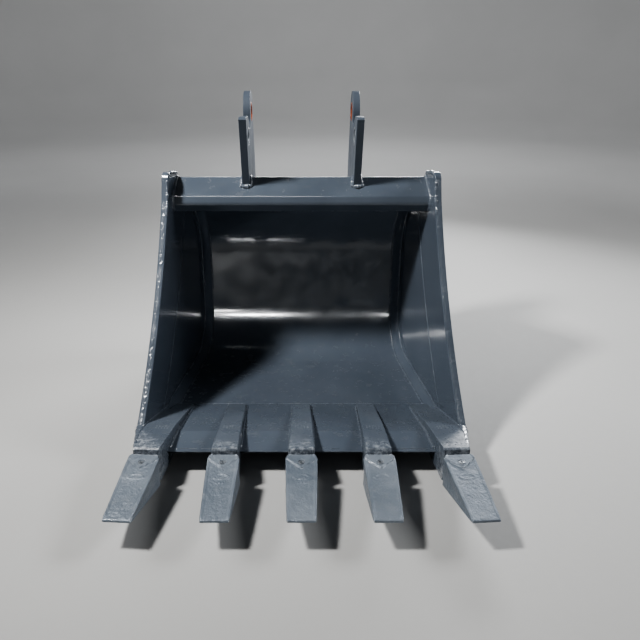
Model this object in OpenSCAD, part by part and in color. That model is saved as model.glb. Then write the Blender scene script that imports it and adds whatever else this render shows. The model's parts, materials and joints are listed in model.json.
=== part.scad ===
/* [Shell] */
// Outside width across the cutting edge
lip_w = 1000; // [940:10:1100]
// Thickness of the wrapper, the rolled plate that is floor, back and top
wrap_t = 14; // [10:1:16]
// Angle by which each side closes in towards the back
taper = 7.4; // [6:0.1:8]
// Thickness of the bar along the front edge of each side
bar_t = 22; // [18:1:26]
// Width of that bar, measured along the floor
bar_w = 183; // [150:1:200]
// Thickness of the side plates behind the bars
side_t = 14; // [10:1:16]

/* [Wrapper profile] */
// Slope of the heel, the flat on which the bucket stands
heel_a = 10.5; // [9:0.5:12]
// Length of the heel
heel_len = 295; // [270:5:310]
// Inside radius of the bend from heel to back
heel_r = 190; // [180:5:200]
// Height of the straight part of the back
back_len = 205; // [190:5:220]
// Inside radius of the roll at the top
roll_r = 290; // [285:1:295]

/* [Cutting edge] */
// Thickness of the lip plate
lip_t = 25; // [22:1:28]
// How far the lip stands in front of the sides
lip_front = 47; // [40:1:55]
// Where the lip plate ends behind the sides' front corner
lip_back = 297; // [285:1:303]
// Thickness left at the lip's front edge by the bevel on its top
edge_t = 4.5; // [3:0.5:6]

/* [Teeth] */
// Distance between the middle teeth
pitch = 214; // [205:1:220]
// Distance of a corner tooth from the middle, at its shoulder
corner_x = 431; // [425:1:440]
// Outward angle of the corner teeth
splay = 5.5; // [3:0.5:7]
// Width of a tooth point at its rear end
tooth_w = 88; // [82:1:92]
// Width of a tooth point at its tip
tip_w = 75; // [68:1:80]
// Radius of a lock pin
pin_r = 8.5; // [7.5:0.5:9]
// Length of a lock pin
pin_len = 76; // [73:1:77]

/* [Ears] */
// Clear gap between the ears
ear_gap = 347; // [300:1:380]
// Thickness of an ear
ear_t = 24; // [20:1:28]
// Radius of the bore for the stick pin and for the link pin
bore_r = 25; // [22.5:0.5:30]
// Wall of the bushes in the ears
bush_wall = 6; // [5:0.5:8]

/* [Hidden] */
$fn = 64;

paint = [0.24, 0.28, 0.33];
cast = [0.62, 0.65, 0.68];
steel = [0.72, 0.73, 0.74];

// The bucket is drawn with its floor level and the front corner of its sides at y = 0.
// It is then set down on its heel, with the origin in the middle of the stick pin's axis.
stick = [402, 908];
link = [556, 1000];
tan_t = tan(taper);
wall_x = bar_t / cos(taper);

// Wrapper: floor, heel, bend, back and roll, each shifted outwards by k
heel_y = 310;
bevel_y = 55;
bevel_drop = (lip_t - edge_t) / (bevel_y + lip_front);
back_lean = 3.3;
roll_end = 88;
heel_dir = [cos(heel_a), sin(heel_a)];
bend_from = [heel_y, lip_t] + heel_len * heel_dir;
bend_c = bend_from + heel_r * [-sin(heel_a), cos(heel_a)];
back_from = bend_c + heel_r * [cos(back_lean), sin(back_lean)];
back_to = back_from + back_len * [-sin(back_lean), cos(back_lean)];
roll_c = back_to - roll_r * [cos(back_lean), sin(back_lean)];
function arc(c, r, a, b, n) = [for (i = [0:n]) c + r * [cos(a + (b - a) * i / n), sin(a + (b - a) * i / n)]];
function heel_line(k) = concat([[heel_y + k * tan(heel_a / 2), lip_t - k]],
    arc(bend_c, heel_r + k, heel_a - 90, back_lean, 14));
function roll_line(k, first, last) = let (all = arc(roll_c, roll_r + k, back_lean, roll_end, 16))
    [for (i = [first:last]) all[i]];
function profile(k) = concat(heel_line(k), roll_line(k, 0, 16));
function flip(p) = [for (i = [len(p) - 1:-1:0]) p[i]];

// Front edge of the sides, hollowed a little, and the same line shifted back by d
edge_a = [15, lip_t];
edge_b = [233, 326];
edge_c = [339, 700];
function edge(d) = [for (i = [0:12]) let (t = i / 12)
    (1 - t) * (1 - t) * edge_a + 2 * t * (1 - t) * edge_b + t * t * edge_c + [d, 0]];
top_z = 796;
corner_r = 26;
side_outline = concat(edge(0), [[350, 762]], arc([376, top_z - corner_r], corner_r, 180, 90, 6),
    [[452, top_z], [470, 780]], flip(profile(wrap_t)), [[lip_back, lip_t - wrap_t], [lip_back, lip_t]],
    [[bevel_y, lip_t], [15, lip_t - (bevel_y - 15) * bevel_drop]]);

// Torque tube: bent plate that closes against the roll of the wrapper
tube_top = [445, 782];
tube_bend = [388, 716];
tube_low = [385, 692];
tube_turn = [403, 668];
tube_outer = concat([tube_top, tube_bend, tube_low, [389, 678], tube_turn], roll_line(0, 11, 16),
    [roll_c + (roll_r + wrap_t) * [cos(roll_end), sin(roll_end)]]);
tube_inner = concat([[448, 764], [402, 712], [399, 693], [409, 682]], arc(roll_c, roll_r - 12, 64, 86, 5));

// Lip plate, bevelled on top from bevel_y to a thin front edge
lip_outline = [[-lip_front, 1], [-lip_front + 1, 0], [lip_back, 0], [lip_back, lip_t], [bevel_y, lip_t],
    [-lip_front, edge_t]];

// Adapter and tooth, seen from the side
shoulder = -128;
gap_y = -141;
adapter_side = [[278, lip_t], [278, 31], [272, 33], [60, 51], [shoulder + 6, 50], [shoulder, 45],
    [shoulder, 25], [-267, -18], [-274, -22], [-274, -30], [-267, -33.5], [shoulder, -37], [shoulder, -46],
    [-115, -50], [0, -32], [116, -10], [120, -6], [120, 0]];
adapter_plan = [[28, 280], [30, 272], [37, shoulder + 6], [36, shoulder], [30, shoulder], [23, -274]];
tooth_side = [[gap_y, 34.5], [-351, -30], [-362, -36], [-364, -39], [-362, -43], [gap_y, -50]];
nose_room = [[gap_y + 1, 22.8], [-268, -17], [-275, -21.5], [-275, -30.5], [-268, -34.5], [gap_y + 1, -38]];
nose_plan = [[31.2, gap_y + 1], [24, -275]];
pin_y = -169.5;
pin_top = 28.5;
run = 0.08;

module set_down() {
    rotate([-heel_a, 0, 0]) translate([0, -stick[0], -stick[1]]) children();
}
// Draws an outline of [y, z] points across the bucket
module across(x0, x1) {
    translate([x0, 0, 0]) rotate([90, 0, 90]) linear_extrude(x1 - x0) children();
}
// Room between the two sides, as far as their inner faces
module between_sides() {
    a = lip_w / 2 - wall_x;
    translate([0, 0, -100]) linear_extrude(1000) polygon([[-a - 100 * tan_t, -100], [a + 100 * tan_t, -100],
        [a - 900 * tan_t, 900], [-a + 900 * tan_t, 900]]);
}
// Slab that follows the right side, from depth d0 to d1 below its outer face
module side_slab(d0, d1) {
    o = lip_w / 2 - d0 / cos(taper);
    i = lip_w / 2 - d1 / cos(taper);
    translate([0, 0, -100]) linear_extrude(1000) polygon([[o + 100 * tan_t, -100], [o - 900 * tan_t, 900],
        [i - 900 * tan_t, 900], [i + 100 * tan_t, -100]]);
}
module on_side(side, d0, d1) {
    mirror([side < 0 ? 1 : 0, 0, 0]) intersection() {
        across(200, 620) children();
        side_slab(d0, d1);
    }
}

module wrapper() {
    color(paint) set_down() intersection() {
        across(-520, 520) polygon(concat([[lip_back, lip_t]], profile(0), flip(profile(wrap_t)),
            [[lip_back, lip_t - wrap_t]]));
        between_sides();
    }
}
module lip_plate() {
    e = lip_w / 2;
    half = [[0, -100], [e - 20, -100], [e - 20, -lip_front], [e, 4], [e - 400 * tan_t, 400], [0, 400]];
    color(paint) set_down() intersection() {
        across(-520, 520) polygon(lip_outline);
        translate([0, 0, -50]) linear_extrude(200) polygon(both(half));
    }
}
module front_part() {
    polygon(concat([[-60, 0], [-60, 900]], [[360 + bar_w, 900]], flip(edge(bar_w)), [[10 + bar_w, 0]]));
}
module side_bar(side) {
    color(paint) set_down() on_side(side, 0, bar_t) intersection() {
        polygon(side_outline);
        front_part();
    }
}
module side_plate(side) {
    color(paint) set_down() on_side(side, bar_t - side_t, bar_t) difference() {
        polygon(side_outline);
        front_part();
    }
}
module torque_tube() {
    color(paint) set_down() intersection() {
        across(-520, 520) difference() {
            polygon(tube_outer);
            polygon(tube_inner);
        }
        between_sides();
    }
}

// Ear: straight front edge, square front corner, hollow between the two bosses
module ear_outline() {
    foot = [415, 747];
    nose = [306, 960];
    valley = link - 98 * [cos(20), sin(20)];
    difference() {
        polygon(concat([foot, nose + [3, -6], nose + [10, 2], [388, 972]], arc(stick, 61, 57, 30, 6),
            arc(valley, 30, 256, 380, 10), arc(link, 68, 195, -12, 30),
            [[704, 819], [738, 640], [742, 560], [600, 560], [450, 700]]));
        translate(stick) circle(r = bore_r + bush_wall);
        translate(link) circle(r = bore_r + bush_wall);
        intersection() {
            translate(roll_c) circle(r = roll_r + wrap_t, $fn = 180);
            translate([roll_c[0] + roll_r * cos(roll_end), 0]) square(1200);
        }
        polygon(tube_outer);
    }
}
module ear(side) {
    x = ear_gap / 2;
    color(paint) set_down() mirror([side < 0 ? 1 : 0, 0, 0]) across(x, x + ear_t) ear_outline();
}
module bush(side, at) {
    x = ear_gap / 2 - 1;
    color(steel) set_down() mirror([side < 0 ? 1 : 0, 0, 0]) across(x, x + ear_t + 2) translate(at)
        difference() {
            circle(r = bore_r + bush_wall);
            circle(r = bore_r);
        }
}

// Fillet strip in the corner between the wrapper and a side, narrow along the lip plate
strip_w = 26;
strip_lip = 11;
function normals(p) = [for (i = [0:len(p) - 1]) let (d = p[min(i + 1, len(p) - 1)] - p[max(i - 1, 0)])
    [-d[1], d[0]] / norm(d)];
function wall_at(y) = lip_w / 2 - wall_x - tan_t * y;
module corner_strip(side) {
    path = concat([[wing_y + 2, lip_t], [lip_back - 30, lip_t], [lip_back, lip_t]], heel_line(0),
        roll_line(0, 1, 10));
    nv = normals(path);
    n = len(path);
    points = [for (i = [0:n - 1]) let (w = i < 2 ? strip_lip : strip_w, p = path[i], q = p + w * nv[i])
        each [[wall_at(p[0]), p[0], p[1]], [wall_at(q[0]), q[0], q[1]], [wall_at(p[0]) - w, p[0], p[1]]]];
    faces = concat([[0, 1, 2], [3 * n - 1, 3 * n - 2, 3 * n - 3]],
        [for (i = [0:n - 2], j = [0:2]) let (k = (j + 1) % 3) [3 * i + j, 3 * i + 3 + j, 3 * i + 3 + k]],
        [for (i = [0:n - 2], j = [0:2]) let (k = (j + 1) % 3) [3 * i + j, 3 * i + 3 + k, 3 * i + k]]);
    color(paint) set_down() mirror([side < 0 ? 1 : 0, 0, 0]) polyhedron(points, faces);
}

module strap(x) {
    w = 90;
    t = 14;
    color(paint) set_down() difference() {
        across(x - w / 2, x + w / 2) polygon(concat(heel_line(wrap_t + t), flip(heel_line(wrap_t))));
        translate([x - w, heel_y - 50, -50]) cube([2 * w, 54, 100]);
    }
}
module heel_plate(side) {
    color(paint) set_down() on_side(side, bar_t - side_t - 10, bar_t - side_t) difference() {
        polygon(concat(heel_line(wrap_t - 1), flip(heel_line(wrap_t - 86))));
        translate([0, -100]) square([380, 400]);
    }
}

module place_tooth(i) {
    s = sign(i - 3);
    x = abs(i - 3) == 2 ? s * corner_x : s * pitch;
    a = abs(i - 3) == 2 ? s * splay : 0;
    translate([x, shoulder, 0]) rotate([0, 0, a]) translate([0, -shoulder, 0]) children();
}
function both(p) = concat(p, [for (i = [len(p) - 1:-1:0]) [-p[i][0], p[i][1]]]);
module pin_hole() {
    translate([0, pin_y, -80]) cylinder(r = pin_r + run, h = 160);
}
module keeper_room(g) {
    translate([-5 - g, pin_y + pin_r + 0.4, -28 - g]) cube([10 + 2 * g, 9 + g, 36 + 2 * g]);
}
wing_y = 210;
module adapter(i) {
    color(cast) set_down() difference() {
        union() {
            place_tooth(i) difference() {
                intersection() {
                    across(-60, 60) polygon(adapter_side);
                    translate([0, 0, -100]) linear_extrude(200) polygon(both(adapter_plan));
                }
                across(-80, 80) polygon([[-lip_front - 5, -0.01], [300, -0.01], [300, 12], [-20, 8],
                    [-lip_front - 5, 3]]);
                pin_hole();
                translate([-5, pin_y, -28]) cube([10, pin_r + 9.4, 36]);
            }
            if (abs(i - 3) == 2) mirror([i < 3 ? 1 : 0, 0, 0]) wing();
        }
        across(-520, 520) polygon([[-lip_front, -0.01], [lip_back + 60, -0.01], [lip_back + 60, lip_t],
            [bevel_y, lip_t], [-lip_front, edge_t]]);
    }
}
// Flange of a corner adapter, flush with its top, which reaches out to the bar and in front of it
module wing() {
    intersection() {
        place_tooth(5) across(-30, 120) polygon([[272, 2], [272, 33], [60, 51], [shoulder + 6, 50],
            [shoulder, 45], [shoulder, 20], [-lip_front, 2]]);
        translate([0, 0, -100]) linear_extrude(200) polygon([[corner_x + 20, shoulder + 4],
            [corner_x + 36, shoulder + 4], [lip_w / 2 - 9, -1], [wall_at(-1) - 0.4, -1],
            [wall_at(wing_y) - 0.4, wing_y], [corner_x - 30, wing_y]]);
    }
}
module tooth(i) {
    color(cast) set_down() place_tooth(i) difference() {
        union() {
            intersection() {
                across(-60, 60) polygon(tooth_side);
                translate([0, 0, -100]) linear_extrude(200) polygon(both([[tooth_w / 2 - 6, gap_y],
                    [tooth_w / 2, gap_y - 8], [tooth_w / 2 - 1, -200], [tip_w / 2, -352],
                    [tip_w / 2 - 2, -366]]));
            }
            intersection() {
                across(-60, 60) polygon([[gap_y, 38], [-194, 21.7], [-194, 8], [gap_y, 26]]);
                translate([0, 0, -100]) linear_extrude(200)
                    polygon(both([[tooth_w / 2 - 7, gap_y], [tooth_w / 2 - 1.5, gap_y - 11],
                        [2, gap_y - 49]]));
            }
        }
        intersection() {
            across(-60, 60) polygon(nose_room);
            translate([0, 0, -100]) linear_extrude(200) polygon(both(nose_plan));
        }
        pin_hole();
    }
}
module tooth_pin(i) {
    color(steel) set_down() place_tooth(i) difference() {
        translate([0, pin_y, pin_top - pin_len]) cylinder(r = pin_r, h = pin_len);
        translate([0, pin_y, pin_top - 6]) cylinder(r = pin_r / 2, h = 7);
    }
}
module pin_keepers() {
    color([0.1, 0.1, 0.1]) set_down() for (i = [1:5]) place_tooth(i) keeper_room(-0.2);
}

wrapper();
lip_plate();
side_bar(-1);  // side_bar_left
side_bar(1);  // side_bar_right
side_plate(-1);  // side_plate_left
side_plate(1);  // side_plate_right
torque_tube();
ear(-1);  // ear_left
ear(1);  // ear_right
bush(-1, stick);  // stick_bush_left
bush(1, stick);  // stick_bush_right
bush(-1, link);  // link_bush_left
bush(1, link);  // link_bush_right
corner_strip(-1);  // corner_strip_left
corner_strip(1);  // corner_strip_right
strap(-300);  // wear_strap_1
strap(-107);  // wear_strap_2
strap(107);  // wear_strap_3
strap(300);  // wear_strap_4
heel_plate(-1);  // heel_plate_left
heel_plate(1);  // heel_plate_right
adapter(1);  // adapter_1
adapter(2);  // adapter_2
adapter(3);  // adapter_3
adapter(4);  // adapter_4
adapter(5);  // adapter_5
tooth(1);  // tooth_1
tooth(2);  // tooth_2
tooth(3);  // tooth_3
tooth(4);  // tooth_4
tooth(5);  // tooth_5
tooth_pin(1);  // tooth_pin_1
tooth_pin(2);  // tooth_pin_2
tooth_pin(3);  // tooth_pin_3
tooth_pin(4);  // tooth_pin_4
tooth_pin(5);  // tooth_pin_5
pin_keepers();
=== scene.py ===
import bmesh
import bpy
import json
import random
from math import copysign, cos, hypot, pi, radians, sin, tan
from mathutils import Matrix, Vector, noise

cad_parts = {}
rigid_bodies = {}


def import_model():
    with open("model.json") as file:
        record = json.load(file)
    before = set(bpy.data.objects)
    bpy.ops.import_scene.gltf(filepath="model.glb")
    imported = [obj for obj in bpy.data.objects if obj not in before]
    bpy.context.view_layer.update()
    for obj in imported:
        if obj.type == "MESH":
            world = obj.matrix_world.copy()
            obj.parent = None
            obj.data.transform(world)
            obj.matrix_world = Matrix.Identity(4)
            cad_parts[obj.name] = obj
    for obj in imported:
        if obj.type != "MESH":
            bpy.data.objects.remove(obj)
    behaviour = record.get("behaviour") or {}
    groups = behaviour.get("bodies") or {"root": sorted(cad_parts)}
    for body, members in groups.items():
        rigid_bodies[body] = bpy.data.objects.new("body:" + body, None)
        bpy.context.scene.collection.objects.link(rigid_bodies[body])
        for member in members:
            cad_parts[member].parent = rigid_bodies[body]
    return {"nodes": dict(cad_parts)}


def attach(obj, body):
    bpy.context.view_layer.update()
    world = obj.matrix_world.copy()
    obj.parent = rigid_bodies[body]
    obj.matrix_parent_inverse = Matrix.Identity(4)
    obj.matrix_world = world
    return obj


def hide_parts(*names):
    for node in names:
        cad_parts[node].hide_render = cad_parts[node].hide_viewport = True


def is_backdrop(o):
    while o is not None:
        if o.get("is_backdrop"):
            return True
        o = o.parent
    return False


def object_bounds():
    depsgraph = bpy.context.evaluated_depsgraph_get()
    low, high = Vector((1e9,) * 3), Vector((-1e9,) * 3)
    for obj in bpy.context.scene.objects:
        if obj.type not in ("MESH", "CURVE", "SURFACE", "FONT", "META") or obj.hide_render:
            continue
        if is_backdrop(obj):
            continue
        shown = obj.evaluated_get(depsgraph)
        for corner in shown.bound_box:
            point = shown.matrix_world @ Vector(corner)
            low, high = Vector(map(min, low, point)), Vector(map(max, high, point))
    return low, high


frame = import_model()
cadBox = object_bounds()
print("stage: frame loaded")

# The bucket is described level, as it is drawn, and then set down on its heel.
# y runs from the mouth to the back and z up from the underside of the lip, in metres.
bucket = {
    "heelAngle": radians(10.5),   # slope of the heel, and the tilt of the whole bucket
    "stickPin": (0.402, 0.908),        # y and z of the stick pin's axis, which is the origin
    "halfWidth": 0.500,                # outside of the sides at the lip
    "taper": radians(7.4),        # how far each side closes in towards the back
    "barThick": 0.022,
    "barWidth": 0.183,
    "plateThick": 0.014,               # the side behind its bar is thinner, flush inside
    "wrapThick": 0.014,
    "lipThick": 0.025,
    "lipFront": 0.047,
    "lipBack": 0.297,
    "bevelFrom": 0.055,                # the lip's top slopes from here to its thin front edge
    "frontThick": 0.0045,
    "heelFrom": 0.310,
    "heelLength": 0.295,
    "heelRadius": 0.190,
    "backLean": radians(3.3),
    "backLength": 0.205,
    "rollRadius": 0.290,
    "rollEnd": radians(88),
    "earGap": 0.347,
    "earThick": 0.024,
}
cosHeel, sinHeel = cos(bucket["heelAngle"]), sin(bucket["heelAngle"])
taperSlope = tan(bucket["taper"])
wallDepth = bucket["barThick"] / cos(bucket["taper"])
wrapThick, lipThick = bucket["wrapThick"], bucket["lipThick"]


def turn(x, y, z):
    return Vector((x, y * cosHeel + z * sinHeel, z * cosHeel - y * sinHeel))


def rest(x, y, z):
    # where a point of the level bucket is once it stands on its heel
    return turn(x, y - bucket["stickPin"][0], z - bucket["stickPin"][1])


def wallAt(y, inset=wallDepth):
    return bucket["halfWidth"] - inset - taperSlope * y


def lipTop(y):
    run = bucket["bevelFrom"] + bucket["lipFront"]
    return mix(bucket["frontThick"], lipThick, min(1.0, (y + bucket["lipFront"]) / run))


def arc(centre, radius, start, end, steps):
    angles = [start + (end - start) * i / steps for i in range(steps + 1)]
    return [(centre[0] + radius * cos(a), centre[1] + radius * sin(a)) for a in angles]


def smoothStep(v):
    v = max(0.0, min(1.0, v))
    return v * v * (3.0 - 2.0 * v)


def mix(a, b, t):
    return a + (b - a) * t


heelAngle, backLean = bucket["heelAngle"], bucket["backLean"]
bendFrom = (bucket["heelFrom"] + bucket["heelLength"] * cosHeel, lipThick + bucket["heelLength"] * sinHeel)
bendCentre = (bendFrom[0] - bucket["heelRadius"] * sinHeel, bendFrom[1] + bucket["heelRadius"] * cosHeel)
backFrom = (bendCentre[0] + bucket["heelRadius"] * cos(backLean),
            bendCentre[1] + bucket["heelRadius"] * sin(backLean))
backTo = (backFrom[0] - bucket["backLength"] * sin(backLean),
          backFrom[1] + bucket["backLength"] * cos(backLean))
rollCentre = (backTo[0] - bucket["rollRadius"] * cos(backLean),
              backTo[1] - bucket["rollRadius"] * sin(backLean))
outerRoll = bucket["rollRadius"] + wrapThick
crown = arc(rollCentre, outerRoll, bucket["rollEnd"], bucket["rollEnd"], 1)[0]   # front of the wrapper's top


def heelLine(shift, steps=36):
    start = (bucket["heelFrom"] + shift * tan(heelAngle / 2), lipThick - shift)
    return [start] + arc(bendCentre, bucket["heelRadius"] + shift, heelAngle - pi / 2, backLean, steps)


def wrapLine(shift, steps=36, end=bucket["rollEnd"]):
    # from the rear of the lip, along the heel, up the back and round the roll
    return heelLine(shift, steps) + arc(rollCentre, bucket["rollRadius"] + shift, backLean, end, steps + 12)


def frontEdge(t, back=0.0):
    # hollowed front edge of a side, t = 0 at the lip and 1 near the tube
    a, b, c = (0.015, lipThick), (0.233, 0.326), (0.339, 0.700)
    u, v, w = (1 - t) ** 2, 2 * t * (1 - t), t * t
    return (u * a[0] + v * b[0] + w * c[0] + back, u * a[1] + v * b[1] + w * c[1])


# Materials

# the paler paint on rubbed edges and at knocks; on the edges it is partly worn paint and partly a painted
# highlight
paint = {"dust": (0.11, 0.115, 0.12), "wornAndHighlight": (0.34, 0.37, 0.41), "wave": 0.0006, "peel": 0.00003,
         "cast": 0.0, "wear": 0.45, "coat": 0.6, "shine": 0.5}
onPlate = {**paint, "dust": (0.10, 0.107, 0.116), "wornAndHighlight": (0.26, 0.29, 0.33)}
finishes = {
    "enamel": {**onPlate, "colour": (0.066, 0.082, 0.106), "pale": (0.082, 0.100, 0.126),
               "roughness": (0.13, 0.26), "wave": 0.0003, "peel": 0.000012},
    "earEnamel": {**onPlate, "colour": (0.060, 0.074, 0.096), "pale": (0.074, 0.090, 0.114),
                  "roughness": (0.34, 0.50), "coat": 0.0, "shine": 0.25},
    "castEnamel": {**paint, "colour": (0.068, 0.084, 0.108), "pale": (0.092, 0.110, 0.136),
                   "roughness": (0.20, 0.40), "wave": 0.0004, "peel": 0.00006, "cast": 0.0006, "wear": 0.9,
                   "coat": 0.4, "scuff": (-0.672, -0.612)},
    "flameCut": {**paint, "colour": (0.070, 0.086, 0.110), "pale": (0.100, 0.118, 0.144),
                 "wornAndHighlight": (0.32, 0.345, 0.38), "dust": (0.11, 0.118, 0.128), "roughness": (0.14, 0.30),
                 "cast": 0.0008, "coat": 0.7},
    "weldPaint": {**paint, "colour": (0.070, 0.086, 0.110), "pale": (0.105, 0.123, 0.150),
                  "dust": (0.15, 0.155, 0.16), "roughness": (0.16, 0.36), "wave": 0.0, "peel": 0.0001,
                  "cast": 0.0004, "wear": 0.35},
    "toothCasting": {**paint, "colour": (0.128, 0.155, 0.190), "pale": (0.205, 0.236, 0.276),
                     "wornAndHighlight": (0.55, 0.58, 0.62), "dust": (0.22, 0.235, 0.25), "roughness": (0.28, 0.50),
                     "wave": 0.0005, "peel": 0.00008, "cast": 0.0022, "wear": 1.0, "coat": 0.15},
}


class Nodes:
    # a material's node tree, with one short call for each kind of node used here
    def __init__(self, name):
        self.material = bpy.data.materials.new(name)
        self.material.use_nodes = True
        self.tree = self.material.node_tree
        self.shader = self.tree.nodes["Principled BSDF"]
        self.place = self.tree.nodes.new("ShaderNodeTexCoord").outputs["Object"]

    def add(self, kind, output, **inputs):
        # adds a node whose inputs are plain values or other nodes' outputs, and gives its output
        node = self.tree.nodes.new("ShaderNode" + kind)
        for name, value in inputs.items():
            self.feed(node.inputs[name.replace("_", " ")], value)
        return node.outputs[output]

    def feed(self, socket, value):
        if isinstance(value, bpy.types.NodeSocket):
            self.tree.links.new(value, socket)
        else:
            socket.default_value = value

    def along(self, axis):
        # how far along one of the frame's directions a point is
        return self.add("SeparateXYZ", axis, Vector=self.place)

    def upwards(self):
        return self.add("SeparateXYZ", "Z", Vector=self.add("NewGeometry", "Normal"))

    def noise(self, scale, detail=3.0, rough=0.55, stretch=None):
        place = self.add("Mapping", "Vector", Scale=stretch, Vector=self.place) if stretch else self.place
        return self.add("TexNoise", "Fac", Scale=scale, Detail=detail, Roughness=rough, Vector=place)

    def ramp(self, value, low, high, start=0.0, end=1.0):
        return self.add("MapRange", "Result", Value=value, From_Min=low, From_Max=high,
                        To_Min=start, To_Max=end)

    def combine(self, kind, a, b):
        node = self.tree.nodes.new("ShaderNodeMath")
        node.operation = kind
        node.use_clamp = kind == "MULTIPLY"
        self.feed(node.inputs[0], a)
        self.feed(node.inputs[1], b)
        return node.outputs["Value"]

    def blend(self, factor, a, b):
        node = self.tree.nodes.new("ShaderNodeMix")
        node.data_type = "RGBA"
        self.feed(node.inputs["Factor"], factor)
        for socket, value in ((node.inputs[6], a), (node.inputs[7], b)):
            self.feed(socket, (*value, 1.0) if isinstance(value, tuple) else value)
        return node.outputs[2]

    def bump(self, height, distance, before=None):
        more = {} if before is None else {"Normal": before}
        return self.add("Bump", "Normal", Strength=1.0, Distance=distance, Height=height, **more)

    def edges(self, radius):
        # 1 on edges, 0 on flats, from how far a rounded normal leans off the face
        rounded = self.tree.nodes.new("ShaderNodeBevel")
        rounded.samples = 4
        rounded.inputs["Radius"].default_value = radius
        dot = self.tree.nodes.new("ShaderNodeVectorMath")
        dot.operation = "DOT_PRODUCT"
        self.feed(dot.inputs[0], rounded.outputs["Normal"])
        self.feed(dot.inputs[1], self.add("NewGeometry", "Normal"))
        return self.ramp(dot.outputs["Value"], 0.985, 0.86)

    def finish(self, colour, roughness, normal, metallic, coat=0.0, coatRoughness=0.07):
        sockets = {"Base Color": colour, "Roughness": roughness, "Metallic": metallic, "Coat Weight": coat,
                   "Coat Roughness": coatRoughness}
        if normal is not None:
            sockets["Normal"] = normal
        for name, value in sockets.items():
            self.feed(self.shader.inputs[name], value)
        return self.material


def paintFinish(name, look, metallic=0.0):
    n = Nodes(name)
    tone = n.ramp(n.noise(5.0, 4.0), 0.35, 0.68)
    colour = n.blend(tone, look["colour"], look["pale"])
    # thin dust that settles where the surface looks up
    dusty = n.combine("MULTIPLY", n.ramp(n.upwards(), 0.45, 1.0),
                      n.ramp(n.noise(38.0, 6.0, 0.65), 0.50, 0.80, 0.0, 0.45))
    colour = n.blend(dusty, colour, look["dust"])
    specks = n.ramp(n.noise(240.0, 2.0), 0.70, 0.78, 0.0, 0.35)
    colour = n.blend(specks, colour, look["dust"])
    # paler paint along the edges, broken up by noise: partly worn paint and partly a painted highlight that
    # makes the edges read bright
    wearAndHighlightSpots = n.ramp(n.noise(52.0, 5.0, 0.7), 0.42, 0.62, 0.0, look["wear"])
    wear = n.combine("MULTIPLY", n.edges(0.0028), wearAndHighlightSpots)
    colour = n.blend(wear, colour, look["wornAndHighlight"])
    roughness = n.combine("ADD", n.ramp(n.noise(17.0, 6.0, 0.6), 0.3, 0.7, *look["roughness"]),
                          n.combine("MULTIPLY", dusty, 0.5))
    normal = None
    if "scuff" in look:
        # knocks near the front ends, where bright metal and rough paint show
        front = n.combine("ADD", n.along("Y"), n.ramp(n.noise(24.0, 3.0), 0.3, 0.7, -0.022, 0.022))
        corners = n.ramp(n.combine("ABSOLUTE", n.along("X"), 0.0), 0.40, 0.46, 0.0, -0.060)
        zone = n.ramp(n.combine("ADD", front, corners), *look["scuff"], 1.0, 0.0)
        hit = n.combine("MULTIPLY", zone, n.ramp(n.noise(85.0, 6.0, 0.72), 0.46, 0.60, 0.0, 0.75))
        colour = n.blend(hit, colour, look["wornAndHighlight"])
        normal = n.bump(n.combine("MULTIPLY", zone, n.noise(110.0, 5.0, 0.65)), 0.0022)
    if look["wave"]:
        normal = n.bump(n.noise(7.0, 1.5, 0.4), look["wave"], normal)
    if look["cast"]:
        normal = n.bump(n.noise(150.0, 5.0, 0.6), look["cast"], normal)
        normal = n.bump(n.noise(42.0, 3.0, 0.5), look["cast"] * 1.6, normal)
    normal = n.bump(n.noise(330.0, 2.0), look["peel"], normal)
    n.shader.inputs["Specular IOR Level"].default_value = look["shine"]
    return n.finish(colour, roughness, normal, metallic, look["coat"])


steelLook = {
    "bore": {"colour": (0.42, 0.115, 0.045), "dark": (0.20, 0.055, 0.028), "roughness": (0.28, 0.50)},
    "pin": {"colour": (0.27, 0.295, 0.325), "dark": (0.15, 0.165, 0.185), "roughness": (0.30, 0.55)},
    "rubber": {"colour": (0.020, 0.020, 0.021), "dark": (0.010, 0.010, 0.010), "roughness": (0.60, 0.85)},
}


def steelFinish(name, look, metallic, ringScale):
    n = Nodes(name)
    patch = n.ramp(n.noise(46.0, 5.0, 0.65), 0.36, 0.64)
    colour = n.blend(patch, look["dark"], look["colour"])
    turned = n.noise(ringScale, 3.0, 0.6, (6.0, 1.0, 1.0))
    roughness = n.ramp(turned, 0.3, 0.7, *look["roughness"])
    normal = n.bump(turned, 0.00012, n.bump(n.noise(120.0, 4.0), 0.00015))
    return n.finish(colour, roughness, normal, metallic)


enamel = paintFinish("slate_enamel", finishes["enamel"])
earEnamel = paintFinish("enamel_on_ears", finishes["earEnamel"])
castEnamel = paintFinish("enamel_on_casting", finishes["castEnamel"])
flameCut = paintFinish("enamel_on_flame_cut_edge", finishes["flameCut"])
weldPaint = paintFinish("enamel_on_weld", finishes["weldPaint"])
toothCasting = paintFinish("bare_tooth_casting", finishes["toothCasting"], 0.25)
boreFilm = steelFinish("rust_proof_film", steelLook["bore"], 0.35, 90.0)
pinSteel = steelFinish("dark_pin_steel", steelLook["pin"], 0.5, 160.0)
keeperRubber = steelFinish("keeper_rubber", steelLook["rubber"], 0.0, 70.0)
print("stage: finishes mixed")


# Pieces

def addObject(name, data):
    thing = bpy.data.objects.new(name, data)
    bpy.context.scene.collection.objects.link(thing)
    return thing


def addPiece(name, verts, faces, material, nodeNames=(), slot="painted_steel", body="root", angle=40.0):
    mesh = bpy.data.meshes.new(name)
    mesh.from_pydata([tuple(v) for v in verts], [], faces)
    tidy = bmesh.new()
    tidy.from_mesh(mesh)
    bmesh.ops.remove_doubles(tidy, verts=tidy.verts, dist=2e-6)
    bmesh.ops.recalc_face_normals(tidy, faces=tidy.faces)
    tidy.to_mesh(mesh)
    tidy.free()
    return settle(addObject(name, mesh), material, nodeNames, slot, body, angle)


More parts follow.
